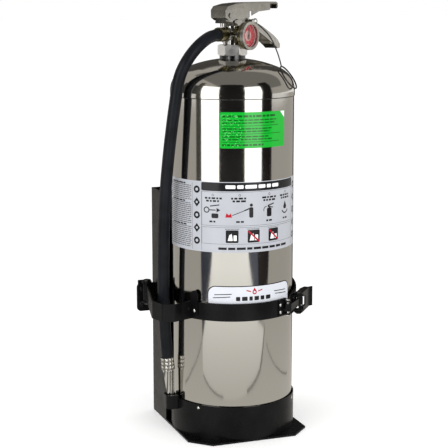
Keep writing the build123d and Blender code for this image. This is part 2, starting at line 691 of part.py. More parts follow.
DIP_TUBE_R = 6.5
DIP_BORE_R = 5.2
DIP_LOW = 24.0


def dip_tube():
    tube = ring(DIP_TUBE_R, DIP_BORE_R, DIP_LOW, SPRING_LOW - 2)
    return tube + ring(CHAMBER_R, DIP_BORE_R, SPRING_LOW - 5, SPRING_LOW)


def dip_strainer():
    """A cap on the dip tube's lower end, with slots round it below the tube."""
    strainer = disc(8.0, DIP_LOW - 8, DIP_LOW + 10) - disc(DIP_TUBE_R, DIP_LOW, DIP_LOW + 11)
    strainer -= disc(DIP_BORE_R, DIP_LOW - 6, DIP_LOW + 1)
    for turn in range(0, 360, 60):
        strainer -= Rot(0, 0, turn) * block((4, 10), (-1, 1), (DIP_LOW - 5, DIP_LOW - 1))
    return strainer


SPRING_LOW = NUT_LOW - 3.0
SPRING_TOP = SEAT_Z - 5.5
SEAL_LOW = SEAT_Z - 2.5
SEAL_R = 6.8
STEM_TOP = 606.5


def return_spring():
    low, high, wire, turns = SPRING_LOW, SPRING_TOP, 0.7, 5
    line = Helix(pitch=(high - low - 2 * wire) / turns, height=high - low - 2 * wire, radius=5.6)
    section = Plane(line @ 0, z_dir=line % 0) * Circle(wire)
    return Pos(0, 0, low + wire) * sweep(section, line, is_frenet=True)


def valve_stem():
    return disc(STEM_R, SPRING_TOP, STEM_TOP) + disc(SEAL_R - 0.2, SPRING_TOP, SEAL_LOW)


def stem_seal():
    return ring(SEAL_R, STEM_R, SEAL_LOW, SEAT_Z - 0.1)


def fill_valve():
    start = COLUMN_R + 3
    stem = along_y(FILL_R, start, start + 6, 0, FILL_Z)
    cap = along_y(4.2, start + 2, start + 9, 0, FILL_Z) - along_y(FILL_R, start + 1, start + 6, 0, FILL_Z)
    return VALVE * stem, VALVE * cap


def lever_pivot_pin():
    half = LEVER_WIDTH / 2
    pin = along_y(PIVOT_R_PIN, -half - 1.4, half + 1.4, *LEVER_PIVOT)
    for low, high in ((-half - 1.4, -half - 0.2), (half + 0.2, half + 1.4)):
        pin += along_y(3.6, low, high, *LEVER_PIVOT)
    return VALVE * pin


# ---------------------------------------------------------------- gauge (axis along the valve's -Y)
def gauge_ring(outer, inner, front, back):
    """A ring about the gauge's axis; front and back are distances from the cylinder's axis."""
    return along_y(outer, -front, -back, 0, GAUGE_Z) - along_y(inner, -front, -back, 0, GAUGE_Z)


GAUGE_BACK = 22.0
GAUGE_INNER = GAUGE_R - 2.6
NEEDLE_POST_R = 0.8


def gauge_case():
    case = along_y(GAUGE_R - 1.2, -GAUGE_FRONT + 2, -GAUGE_BACK, 0, GAUGE_Z)
    case -= along_y(GAUGE_INNER, -GAUGE_FRONT, -GAUGE_BACK - 1.6, 0, GAUGE_Z)
    case += along_y(GAUGE_STEM_R, -GAUGE_BACK - 0.5, -BOSS_FRONT + 4, 0, GAUGE_Z)
    case += along_y(NEEDLE_POST_R, -GAUGE_FRONT + 2.6, -GAUGE_BACK - 0.5, 0, GAUGE_Z)
    return VALVE * (case - along_y(1.2, -GAUGE_BACK, -BOSS_FRONT + 5, 0, GAUGE_Z))


def gauge_bezel():
    bezel = gauge_ring(GAUGE_R, GAUGE_R - 1.2, GAUGE_FRONT, GAUGE_FRONT - 5)
    return VALVE * (bezel + gauge_ring(GAUGE_R, GAUGE_INNER - 1.2, GAUGE_FRONT, GAUGE_FRONT - 0.8))


def gauge_dial():
    return VALVE * gauge_ring(GAUGE_INNER - 0.05, NEEDLE_POST_R + 0.6, GAUGE_FRONT - 5.4, GAUGE_FRONT - 6.0)


def gauge_lens():
    return VALVE * along_y(GAUGE_INNER - 0.02, -GAUGE_FRONT + 0.8, -GAUGE_FRONT + 2.0, 0, GAUGE_Z)


def gauge_needle():
    near, far = -GAUGE_FRONT + 3.2, -GAUGE_FRONT + 4.0
    needle = along_y(1.9, near, far, 0, GAUGE_Z)
    tip = GAUGE_Z + GAUGE_INNER - 5.0
    needle += side_plate([(-0.9, GAUGE_Z), (0.9, GAUGE_Z), (0.25, tip), (-0.25, tip)], near, far)
    needle += block((-1.1, 1.1), (near, far), (GAUGE_Z - 5, GAUGE_Z))
    return VALVE * (needle - along_y(NEEDLE_POST_R + RUNNING_GAP, near - 1, far + 1, 0, GAUGE_Z))


# ---------------------------------------------------------------- lever and handle (valve's frame)
def channel_lever(outline, width, wall, top):
    """An inverted channel: two side plates of this outline under a top strip."""
    half = width / 2
    solid = side_plate(outline, -half, half)
    hollow = side_plate(top, -half + wall, half - wall)
    return solid - hollow


def operating_lever():
    z = LEVER_PIVOT[1]
    tip = LEVER_TIP
    outline = [
        (-33, 601.5), (-33.5, 612), (-28, 617.5), (-8, 621), (20, 622.6), (tip - 2, 623.3),
        (tip + 1.5, 621.3), (tip + 2, 615.5), (tip - 2, 612.5), (46, 609.5), (32, 605), (19, 599.5),
        (9, 598), (-12, 599.5), (-20, 598.5), (-26, 597.5),
    ]
    hollow = [
        (-31.4, 590), (-31.4, 611), (-27, 615.6), (-8, 619.2), (20, 620.8), (tip - 6, 621.4),
        (tip - 1, 620), (tip - 1, 590),
    ]
    lever = channel_lever(outline, LEVER_WIDTH, LEVER_WALL, hollow)
    taper_from, half = 40, LEVER_WIDTH / 2
    for side in (-half, half):
        wedge = [(taper_from, side), (tip + 5, side * 0.8), (tip + 5, side * 2), (taper_from, side * 2)]
        lever -= slab(wedge, 560, 640)
    pin_x = PULL_PIN[0]
    lever -= block((pin_x - PULL_PIN_R - 0.4, pin_x + PULL_PIN_R + 1.1), (-30, 30), (590, 610))
    lever += along_y(3.2, -6, 6, 0, STEM_TOP + 3.8)
    lever += block((-5, 5), (-6, 6), (608.5, 621))
    return VALVE * (lever - along_y(PIVOT_R_PIN + RUNNING_GAP, -30, 30, LEVER_PIVOT[0], z))


def carry_handle():
    outline = [
        (-9, BLOCK_LOW + 1.6), (-9, 597), (14, 602), (30, 598.5), (58, 588), (84, 575.5),
        (97, 567.5), (102.5, 560.5), (101.5, 555.5), (96, 555), (90.5, 559), (79, 565.5),
        (55, 577.5), (38, 586), (24, 588), (18, BLOCK_LOW + 1.6),
    ]
    hollow = [
        (-20, 575), (-20, 605), (21.8, 605), (21.8, 598.6), (30, 596.5), (58, 586), (84, 573.5),
        (96, 566), (99, 561), (97, 550), (40, 550),
    ]
    handle = channel_lever(outline, HANDLE_WIDTH, HANDLE_WALL, hollow)
    handle -= along_y(PULL_PIN_R + 0.15, -30, 30, *PULL_PIN)
    for x, z in HANDLE_RIVETS:
        handle -= along_y(HANDLE_RIVET_R, -30, 30, x, z)
    return VALVE * handle


HANDLE_RIVETS = [(-4.0, 594.6), (12.0, 595.4)]
HANDLE_RIVET_R = 1.8


def handle_rivets():
    half = HANDLE_WIDTH / 2
    made = []
    for x, z in HANDLE_RIVETS:
        for side in (-1, 1):
            low, high = sorted((side * BLOCK_HALF_WIDTH, side * (half + 0.2)))
            made.append(along_y(HANDLE_RIVET_R, low, high, x, z))
    return group(*made, at=VALVE)


def pull_pin():
    x, z = PULL_PIN
    half = HANDLE_WIDTH / 2
    head = -half - 5.5
    pin = along_y(PULL_PIN_R, head, half + 5, x, z)
    pin += along_y(3.2, head - 1.5, head + 1.0, x, z)
    eye = Pos(x, head - 4.2, z) * Rot(0, 90, 0) * Torus(3.2, 1.0)
    return VALVE * (pin + eye)


# ---------------------------------------------------------------- hose and tether
def hose_coupling():
    coupling = along_x(COUPLING_R - 2, -COLUMN_R - 2.5, -COLUMN_R + 3, 0, OUTLET_Z)
    coupling += along_x(COUPLING_R, -FERRULE_START, -COLUMN_R - 2, 0, OUTLET_Z)
    return VALVE * (coupling - along_x(OUTLET_BORE_R, -FERRULE_END, 0, 0, OUTLET_Z))


def grooved_sleeve(outer, bore, length, floor, grooves):
    """A crimped sleeve standing on the XY plane, with a floor at the bottom and grooves round it."""
    sleeve = disc(outer, 0, length) - disc(bore, floor, length + 1)
    for z in grooves:
        sleeve -= ring(outer + 1, outer - 0.5, z - 0.6, z + 0.6)
    return sleeve - disc(OUTLET_BORE_R, -1, floor + 1)


def top_ferrule():
    sleeve = grooved_sleeve(FERRULE_R, HOSE_R, FERRULE_END - FERRULE_START, 1.0, (6.0, 10.0))
    return VALVE * (Pos(-FERRULE_START, 0, OUTLET_Z) * Rot(0, -90, 0) * sleeve)


def hose():
    return cord_tube(HOSE, HOSE_R)


LOW_FERRULE_LENGTH = 18.0
LOW_FERRULE_FLOOR = 3.5
NOZZLE_LENGTH = 50.0
NOZZLE_TOP_R = 7.5
NOZZLE_TIP_R = 5.0
NOZZLE_BORE_R = 2.8


def hose_end():
    """A frame at the hose's lower end, with +Z back up along the hose."""
    before, end = Vector(*HOSE[-2]), Vector(*HOSE[-1])
    return Plane(end, z_dir=before - end).location


def low_ferrule():
    sleeve = grooved_sleeve(LOW_FERRULE_R, HOSE_R, LOW_FERRULE_LENGTH, LOW_FERRULE_FLOOR, (7.0, 11.0, 15.0))
    return hose_end() * Pos(0, 0, -LOW_FERRULE_FLOOR) * sleeve


def nozzle():
    outline = [
        (NOZZLE_BORE_R, 0), (NOZZLE_TOP_R + 0.8, 0), (NOZZLE_TOP_R + 0.8, -3), (NOZZLE_TOP_R, -4.5),
        (NOZZLE_TIP_R, 4 - NOZZLE_LENGTH), (NOZZLE_TIP_R + 0.5, 3 - NOZZLE_LENGTH),
        (NOZZLE_TIP_R + 0.5, -NOZZLE_LENGTH), (NOZZLE_BORE_R, -NOZZLE_LENGTH),
    ]
    turned = revolve(Plane.XZ * make_face(Polyline(*outline, close=True)), axis=Axis.Z)
    return hose_end() * Pos(0, 0, -LOW_FERRULE_FLOOR) * turned


def tether():
    return cord_tube(TETHER, TETHER_R)


RING_AZ = 51.5            # where the pull ring lies on the shoulder
RING_RISE = 35.0          # how far up the knuckle, in degrees
RING_R = 18.5
RING_WIRE_R = 1.1


def pull_ring():
    rise, az = math.radians(RING_RISE), math.radians(RING_AZ)
    out = Vector(math.sin(az) * math.cos(rise), -math.cos(az) * math.cos(rise), math.sin(rise))
    reach = SHELL_R - KNUCKLE_R + (KNUCKLE_R + LIP_WALL) * math.cos(rise)
    height = KNUCKLE_Z + (KNUCKLE_R + LIP_WALL) * math.sin(rise)
    x, y = plan(reach, RING_AZ)
    return Plane(Vector(x, y, height) - out * 0.2, z_dir=out).location * Torus(RING_R, RING_WIRE_R)


# ---------------------------------------------------------------- labels
LABEL_T = 0.15


def rounded_label(az_from, az_to, low, high, corner):
    """A label on the cylinder with rounded corners."""
    reach = SHELL_R + LABEL_T
    label = curved_strap(SHELL_R, reach, az_from, az_to, low, high)
    notch = block((-1, corner), (-reach - 3, -reach + 6), (-1, corner))
    notch -= along_y(corner, -reach - 4, -reach + 7, corner, corner)
    other = mirror(notch, Plane.YZ)
    for az, cut in ((az_from, notch), (az_to, other)):
        label -= Rot(0, 0, az) * Pos(0, 0, low) * cut
        label -= Rot(0, 0, az) * Pos(0, 0, high) * mirror(cut, Plane.XY)
    return label


def main():
    stem, cap = fill_valve()
    nodes = {
        "base_plate": base_plate(),
        "base_cup": base_cup(),
        "cup_rivets": cup_rivets(),
        "base_pad": base_pad(),
        "back_channel": back_channel(),
        "cross_plate": cross_plate(),
        "cross_plate_rivets": cross_rivets(),
        "hinge_clevis": hinge_clevis(),
        "clevis_rivets": clevis_rivets(),
        "hinge_pin": hinge_pin(),
        "clamp_arm": clamp_arm(),
        "clamp_arm_rivets": arm_rivets(),
        "clamp_arm_lining": arm_lining(),
        "nozzle_rest": nozzle_rest(),
        "latch_base": latch_base(),
        "latch_pivot_pins": latch_pivot_pins(),
        "latch_lever": latch_lever(),
        "claw_pin": claw_pin(),
        "latch_claw": latch_claw(),
        "strap_band": strap_band(),
        "strap_lining": strap_lining(),
        "keeper": keeper(),
        "keeper_pin": keeper_pin(),
        "keeper_rivets": keeper_rivets(),
        "strap_tab": strap_tab(),
        "strap_tab_rivet": tab_rivet(),
        "cylinder_shell": cylinder_shell(),
        "top_dome": top_dome(),
        "bottom_head": bottom_head(),
        "neck_ring": neck_ring(),
        "neck_gasket": neck_gasket(),
        "collar_nut": collar_nut(),
        "valve_body": valve_body(),
        "dip_tube": dip_tube(),
        "dip_strainer": dip_strainer(),
        "return_spring": return_spring(),
        "valve_stem": valve_stem(),
        "stem_seal": stem_seal(),
        "fill_valve": stem,
        "fill_valve_cap": cap,
        "gauge_case": gauge_case(),
        "gauge_bezel": gauge_bezel(),
        "gauge_dial": gauge_dial(),
        "gauge_lens": gauge_lens(),
        "gauge_needle": gauge_needle(),
        "operating_lever": operating_lever(),
        "lever_pivot_pin": lever_pivot_pin(),
        "carry_handle": carry_handle(),
        "handle_rivets": handle_rivets(),
        "pull_pin": pull_pin(),
        "pull_pin_tether": tether(),
        "pull_ring": pull_ring(),
        "hose_coupling": hose_coupling(),
        "top_ferrule": top_ferrule(),
        "hose": hose(),
        "low_ferrule": low_ferrule(),
        "nozzle": nozzle(),
        "instruction_label": rounded_label(-100, 107, 277, 377, 3),
        "inspection_label": rounded_label(-32, 34, 424, 474, 1.5),
        "badge_label": rounded_label(-44, 44, 180, 229, 12),
    }
    os.makedirs("parts", exist_ok=True)
    for name, shape in nodes.items():
        export_step(shape, f"parts/{name}.step")


main()
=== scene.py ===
import json
import math
import random

import bmesh
import bpy
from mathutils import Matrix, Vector


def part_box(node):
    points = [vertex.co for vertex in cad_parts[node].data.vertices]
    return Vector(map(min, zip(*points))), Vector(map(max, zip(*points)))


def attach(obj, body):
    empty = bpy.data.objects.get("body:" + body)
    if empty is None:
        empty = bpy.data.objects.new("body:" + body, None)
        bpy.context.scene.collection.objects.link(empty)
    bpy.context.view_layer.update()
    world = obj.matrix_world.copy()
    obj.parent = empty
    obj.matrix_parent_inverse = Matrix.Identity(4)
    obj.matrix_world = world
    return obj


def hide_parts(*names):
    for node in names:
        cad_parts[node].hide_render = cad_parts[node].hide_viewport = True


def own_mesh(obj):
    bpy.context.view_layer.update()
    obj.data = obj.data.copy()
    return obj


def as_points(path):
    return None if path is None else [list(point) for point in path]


# A fire extinguisher in its bracket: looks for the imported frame. Metres; azimuths are in degrees round
# the cylinder, 0 at the front (-Y) and +90 on the +X side.

MM = 0.001
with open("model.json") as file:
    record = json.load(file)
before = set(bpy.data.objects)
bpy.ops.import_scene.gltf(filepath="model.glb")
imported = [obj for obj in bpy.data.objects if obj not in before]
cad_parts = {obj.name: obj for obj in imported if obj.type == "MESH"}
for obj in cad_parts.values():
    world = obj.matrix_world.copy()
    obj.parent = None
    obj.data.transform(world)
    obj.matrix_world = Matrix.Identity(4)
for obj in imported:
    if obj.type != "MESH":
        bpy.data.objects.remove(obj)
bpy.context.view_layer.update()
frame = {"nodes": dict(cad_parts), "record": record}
nodes = frame["nodes"]
scene = bpy.context.scene

BODY_OF = {n: body for body, members in frame["record"]["behaviour"]["bodies"].items() for n in members}
SLOT_OF = {part["node"]: part["material_slot"] for part in frame["record"]["subparts"]}

# ---------------------------------------------------------------- sizes read from the frame
SHELL_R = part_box("cylinder_shell")[1].x
VALVE_TURN = math.radians(32)
GAUGE_AXIS = Vector((math.sin(VALVE_TURN), -math.cos(VALVE_TURN), 0))

# The cords' routes, the same points as the solid model's, and their sizes, in metres.
HOSE = [
    (-0.016961, -0.010598, 0.578), (-0.037908, -0.023687, 0.578), (-0.0604, -0.0356, 0.5675),
    (-0.0801, -0.0399, 0.5481), (-0.0930, -0.0366, 0.5227), (-0.0966, -0.0322, 0.4920),
    (-0.1006, -0.0274, 0.4550), (-0.1043, -0.0203, 0.4080), (-0.1073, -0.0125, 0.3500),
    (-0.1079, -0.0066, 0.2870), (-0.1077, -0.0026, 0.2260), (-0.1065, -0.0017, 0.1630),
    (-0.1016, -0.0035, 0.0975),
]
TETHER = [
    (0.0359, -0.0080, 0.5920), (0.0426, -0.0106, 0.5854), (0.0506, -0.0174, 0.5754),
    (0.0546, -0.0272, 0.5606), (0.0572, -0.0364, 0.5458), (0.0574, -0.04345, 0.5343),
]
HOSE_LENGTH, HOSE_DIAMETER = 0.5357, 0.017
TETHER_LENGTH, TETHER_DIAMETER = 0.0733, 0.0019


# ---------------------------------------------------------------- material helpers
class Maker:
    """One material's nodes, with short calls for the usual ones."""

    def __init__(self, name, color, metallic=0.0, roughness=0.5, **sockets):
        self.material = bpy.data.materials.new(name)
        self.material.use_nodes = True
        self.tree = self.material.node_tree
        self.shader = self.tree.nodes["Principled BSDF"]
        self.coords = self.add("ShaderNodeTexCoord")
        self.set("Base Color", (*color, 1))
        self.set("Metallic", metallic)
        self.set("Roughness", roughness)
        for socket, value in sockets.items():
            self.set(socket.replace("_", " "), value)

    def add(self, kind, **values):
        node = self.tree.nodes.new(kind)
        for key, value in values.items():
            setattr(node, key, value)
        return node

    def set(self, socket, value):
        self.shader.inputs[socket].default_value = value

    def link(self, output, target):
        self.tree.links.new(output, target)

    def noise(self, scale, detail=3.0, stretch=(1, 1, 1)):
        """Noise over the object's own coordinates, stretched along some axes."""
        mapping = self.add("ShaderNodeMapping")
        mapping.inputs["Scale"].default_value = stretch
        self.link(self.coords.outputs["Object"], mapping.inputs["Vector"])
        node = self.add("ShaderNodeTexNoise")
        node.inputs["Scale"].default_value = scale
        node.inputs["Detail"].default_value = detail
        self.link(mapping.outputs["Vector"], node.inputs["Vector"])
        return node.outputs["Fac"]

    def spread(self, value, low, high, start=0.3, end=0.7):
        node = self.add("ShaderNodeMapRange")
        node.inputs["From Min"].default_value = start
        node.inputs["From Max"].default_value = end
        node.inputs["To Min"].default_value = low
        node.inputs["To Max"].default_value = high
        self.link(value, node.inputs["Value"])
        return node.outputs["Result"]

    def mix(self, value, first, second):
        node = self.add("ShaderNodeMix", data_type="RGBA")
        self.link(value, node.inputs["Factor"])
        node.inputs["A"].default_value = (*first, 1)
        node.inputs["B"].default_value = (*second, 1)
        return node.outputs["Result"]

    def vary_roughness(self, scale, low, high):
        self.link(self.spread(self.noise(scale), low, high), self.shader.inputs["Roughness"])
        return self

    def vary_color(self, scale, first, second):
        value = self.spread(self.noise(scale), 0, 1, 0.35, 0.65)
        self.link(self.mix(value, first, second), self.shader.inputs["Base Color"])
        return self

    def bump(self, scale, height, strength, detail=2.0, stretch=(1, 1, 1)):
        node = self.add("ShaderNodeBump")
        node.inputs["Strength"].default_value = strength
        node.inputs["Distance"].default_value = height
        self.link(self.noise(scale, detail, stretch), node.inputs["Height"])
        self.link(node.outputs["Normal"], self.shader.inputs["Normal"])
        return self

    def wave(self, direction, period):
        """Bands this far apart. Blender's wave has 20 / tau of them to a unit at scale 1."""
        node = self.add("ShaderNodeTexWave", bands_direction=direction)
        node.inputs["Scale"].default_value = math.tau / (20 * period)
        self.link(self.coords.outputs["Object"], node.inputs["Vector"])
        return node.outputs["Fac"]

    def grid(self, across, upward, height, dark, bright):
        """Ridges this far apart across the object, and upward too if it is given, with painted shade in their
        hollows and painted highlight on their crests.
        """
        value = self.wave("X", across)
        if upward:
            both = self.add("ShaderNodeMath", operation="MULTIPLY")
            self.link(value, both.inputs[0])
            self.link(self.wave("Z", upward), both.inputs[1])
            value = both.outputs["Value"]
        # The colour runs from dark to bright with the ridges: painted shade in the hollows, painted highlight
        # on the crests.
        color = self.mix(self.spread(value, 0, 1, 0.1, 0.5), dark, bright)
        self.link(color, self.shader.inputs["Base Color"])
        node = self.add("ShaderNodeBump")
        node.inputs["Distance"].default_value = height
        self.link(value, node.inputs["Height"])
        self.link(node.outputs["Normal"], self.shader.inputs["Normal"])
        return self


def stainless():
    steel = Maker("stainless", (0.61, 0.59, 0.55), 1.0, 0.09)
    steel.vary_roughness(9, 0.06, 0.12)
    return steel.bump(60, 0.004 * MM, 0.6, 4, (0.15, 0.15, 30))


def black_steel():
    black = Maker("black_steel", (0.004, 0.004, 0.005), 0.0, 0.28, Specular_IOR_Level=0.14)
    black.vary_color(24, (0.0025, 0.0025, 0.003), (0.006, 0.006, 0.0065))
    black.vary_roughness(60, 0.2, 0.34)
    return black.bump(1500, 0.03 * MM, 0.5)


def nickel():
    plate = Maker("nickel", (0.44, 0.425, 0.39), 1.0, 0.15)
    plate.vary_color(40, (0.37, 0.36, 0.33), (0.50, 0.485, 0.445))
    plate.vary_roughness(90, 0.1, 0.2)
    return plate.bump(700, 0.03 * MM, 0.5, 4)


def valve_metal():
    cast = Maker("valve_metal", (0.50, 0.49, 0.46), 1.0, 0.16)
    cast.vary_color(60, (0.40, 0.39, 0.365), (0.58, 0.57, 0.54))
    cast.vary_roughness(120, 0.1, 0.22)
    return cast.bump(900, 0.03 * MM, 0.6, 4)


def chrome():
    bright = Maker("chrome", (0.80, 0.79, 0.76), 1.0, 0.08)
    bright.vary_roughness(80, 0.05, 0.13)
    return bright.bump(300, 0.008 * MM, 0.5)


def satin_chrome():
    satin = Maker("satin_chrome", (0.92, 0.91, 0.89), 1.0, 0.34)
    satin.vary_roughness(90, 0.28, 0.40)
    return satin.bump(500, 0.02 * MM, 0.5)


def crimped_chrome():
    """Rows of crimp marks up the ferrule and round it, with painted highlights on the marks and painted shade
    between them.
    """
    crimped = Maker("crimped_chrome", (0.86, 0.85, 0.81), 1.0, 0.16)
    crimped.vary_roughness(120, 0.1, 0.22)
    return crimped.grid(5.2 * MM, 5.6 * MM, 0.7 * MM, (0.30, 0.29, 0.27), (0.95, 0.94, 0.90))


def turned_chrome():
    """Polished metal with flutes down its length, with painted shade in the flutes."""
    turned = Maker("turned_chrome", (0.82, 0.81, 0.78), 1.0, 0.1)
    turned.vary_roughness(80, 0.06, 0.16)
    return turned.grid(3.6 * MM, None, 0.6 * MM, (0.13, 0.13, 0.125), (0.80, 0.79, 0.76))


def dull_bezel():
    dull = Maker("dull_bezel", (0.58, 0.57, 0.52), 1.0, 0.3)
    dull.vary_color(90, (0.46, 0.45, 0.40), (0.66, 0.65, 0.60))
    return dull.vary_roughness(120, 0.22, 0.38)


def bright_rivet():
    return Maker("bright_rivet", (0.82, 0.81, 0.78), 1.0, 0.2).vary_roughness(300, 0.14, 0.28)


def dark_steel():
    dark = Maker("dark_steel", (0.09, 0.09, 0.09), 1.0, 0.24)
    return dark.vary_roughness(200, 0.17, 0.32)


def brass():
    olive = Maker("brass", (0.30, 0.27, 0.16), 1.0, 0.25)
    olive.vary_color(90, (0.22, 0.20, 0.11), (0.42, 0.38, 0.24))
    olive.vary_roughness(120, 0.18, 0.34)
    return olive.bump(700, 0.04 * MM, 0.6, 3)


def rubber():
    black = Maker("rubber", (0.007, 0.008, 0.010), 0.0, 0.36, Specular_IOR_Level=0.16)
    black.vary_color(30, (0.004, 0.005, 0.007), (0.009, 0.010, 0.013))
    black.vary_roughness(70, 0.28, 0.42)
    return black.bump(1300, 0.05 * MM, 0.5, 3)


def lining():
    grey = Maker("lining", (0.05, 0.05, 0.05), 0.0, 0.7)
    grey.vary_color(50, (0.035, 0.035, 0.035), (0.07, 0.07, 0.068))
    return grey.bump(900, 0.05 * MM, 0.6, 3)


def spring_steel():
    return Maker("spring_steel", (0.12, 0.12, 0.12), 1.0, 0.35).vary_roughness(300, 0.28, 0.42)


def plastic():
    pale = Maker("white_plastic", (0.74, 0.72, 0.66), 0.0, 0.5)
    return pale.vary_roughness(60, 0.42, 0.58)


def print_film(name, color, shine=0.25):
    film = Maker(name, color, 0.0, 0.16, Specular_IOR_Level=shine)
    darker = tuple(c * 0.94 for c in color)
    film.vary_color(25, darker, color)
    film.vary_roughness(40, 0.11, 0.22)
    return film.bump(120, 0.006 * MM, 0.5)


def lens_glass():
    glass = Maker("lens", (0.95, 0.97, 0.97), 0.0, 0.03, Alpha=0.025)
    glass.vary_roughness(40, 0.02, 0.06)
    return glass


MATERIALS = {
    "stainless": stainless(), "black_steel": black_steel(), "bright_rivet": bright_rivet(),
    "dark_steel": dark_steel(), "rubber": rubber(), "lining": lining(), "nickel": nickel(),
    "valve_metal": valve_metal(), "chrome": chrome(), "brass": brass(), "spring_steel": spring_steel(),
    "white_plastic": plastic(), "lens": lens_glass(), "satin_chrome": satin_chrome(),
    "crimped_chrome": crimped_chrome(), "turned_chrome": turned_chrome(), "dull_bezel": dull_bezel(),
    "gauge_dial": print_film("gauge_dial", (0.80, 0.74, 0.70)),
    "gauge_needle": print_film("gauge_needle", (0.02, 0.02, 0.02)),
    "label": print_film("label", (0.44, 0.455, 0.49)),
    "green_label": print_film("green_label", (0.004, 0.40, 0.026), shine=0.5),
    "badge": print_film("badge", (0.64, 0.66, 0.71)),
    "ink_black": print_film("ink_black", (0.012, 0.012, 0.014)),
    "ink_grey": print_film("ink_grey", (0.13, 0.13, 0.14)),
    "ink_pink": print_film("ink_pink", (0.52, 0.30, 0.27)),
    "ink_red": print_film("ink_red", (0.42, 0.012, 0.025)),
    "ink_white": print_film("ink_white", (0.84, 0.84, 0.84)),
    "ink_green": print_film("ink_green", (0.002, 0.085, 0.006), shine=0.5),
    "bubble_glint_green": print_film("bubble_glint_green", (0.16, 0.62, 0.20), shine=0.5),
}


def paint(obj, *names):
    """Gives obj these materials, in this order."""
    obj.data.materials.clear()
    for name in names:
        obj.data.materials.append(MATERIALS[name].material)


def new_object(name, mesh, body):
    obj = bpy.data.objects.new(name, mesh)
    scene.collection.objects.link(obj)
    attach(obj, body)
    return obj


# ---------------------------------------------------------------- CAD nodes with softened edges
SOFT_ANGLE = math.radians(28)       # an edge that turns more than this is rounded

# How wide each of these nodes' edges are rounded, in mm.
SOFT_NODES = {
    "operating_lever": 0.75, "carry_handle": 0.75, "valve_body": 0.35, "collar_nut": 0.5, "latch_lever": 0.5,
    "latch_claw": 0.4, "latch_base": 0.4, "keeper": 0.3, "strap_tab": 0.4, "nozzle_rest": 0.6,
    "hinge_clevis": 0.4, "base_plate": 0.5, "base_cup": 0.3, "back_channel": 0.5, "cross_plate": 0.5,
    "strap_band": 0.35, "clamp_arm": 0.4,
}


def softened(node, width):
    """A copy of a CAD node with its edges rounded, in place of the node."""
    bm = bmesh.new()
    bm.from_mesh(nodes[node].data)
    bmesh.ops.remove_doubles(bm, verts=bm.verts, dist=0.001 * MM)
    bmesh.ops.dissolve_limit(bm, angle_limit=math.radians(0.5), verts=bm.verts, edges=bm.edges)
    sharp = [e for e in bm.edges if len(e.link_faces) == 2 and e.calc_face_angle(0) > SOFT_ANGLE]
    bmesh.ops.bevel(bm, geom=sharp, offset=width, segments=3, profile=0.5, affect="EDGES", clamp_overlap=True)
    for face in bm.faces:
        face.smooth = True
    mesh = bpy.data.meshes.new(node + "_soft")
    bm.to_mesh(mesh)
    bm.free()
    mesh.set_sharp_from_angle(angle=math.radians(40))
    obj = new_object(node + "_soft", mesh, BODY_OF[node])
    obj.modifiers.new("normals", "WEIGHTED_NORMAL").keep_sharp = True
    paint(obj, "satin_chrome" if node == "collar_nut" else SLOT_OF[node])
    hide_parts(node)


# ---------------------------------------------------------------- weld bead under the dome's lip, with painted shade
# The bead's section, as mm out from the cylinder's wall and up from the lip.
BEAD = ((-0.1, -1.3), (0.45, -1.2), (0.75, -0.8), (0.75, -0.3), (0.6, 0.0), (-0.1, 0.0))
BEAD_SIDES = 180


def seam_bead_painted_shade():
    """A weld bead round the cylinder, just under the dome's lip, coloured dark steel as painted shade of the
    seam's groove.
    """
    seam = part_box("top_dome")[0].z
    bm = bmesh.new()
    rings = []
    for i in range(BEAD_SIDES):
        a = math.tau * i / BEAD_SIDES
        ring = []
        for out, up in BEAD:
            r = SHELL_R + out * MM
            ring.append(bm.verts.new((r * math.sin(a), -r * math.cos(a), seam + up * MM)))
        rings.append(ring)
    for ring, following in zip(rings, rings[1:] + rings[:1]):
        for k in range(len(BEAD)):
            n = (k + 1) % len(BEAD)
            bm.faces.new((ring[k], following[k], following[n], ring[n])).smooth = True
    bmesh.ops.recalc_face_normals(bm, faces=bm.faces)
    mesh = bpy.data.meshes.new("seam_bead_painted_shade")
    bm.to_mesh(mesh)
    bm.free()
    bead = new_object("seam_bead_painted_shade", mesh, "extinguisher")
    # Dark steel here is painted shade of the seam's groove.
    paint(bead, "dark_steel")


# ---------------------------------------------------------------- printed films
FILM_STEP = 3 * MM        # a film is cut this often, so that it follows the cylinder
FILM_T = 0.15 * MM
INK_T = 0.02 * MM         # each print stands this much over the one below it


def on_cylinder(u, v, w):
    """From along the surface, height and height over the surface to a place on the cylinder."""
    r, a = SHELL_R + w, u / SHELL_R
    return (r * math.sin(a), -r * math.cos(a), v)


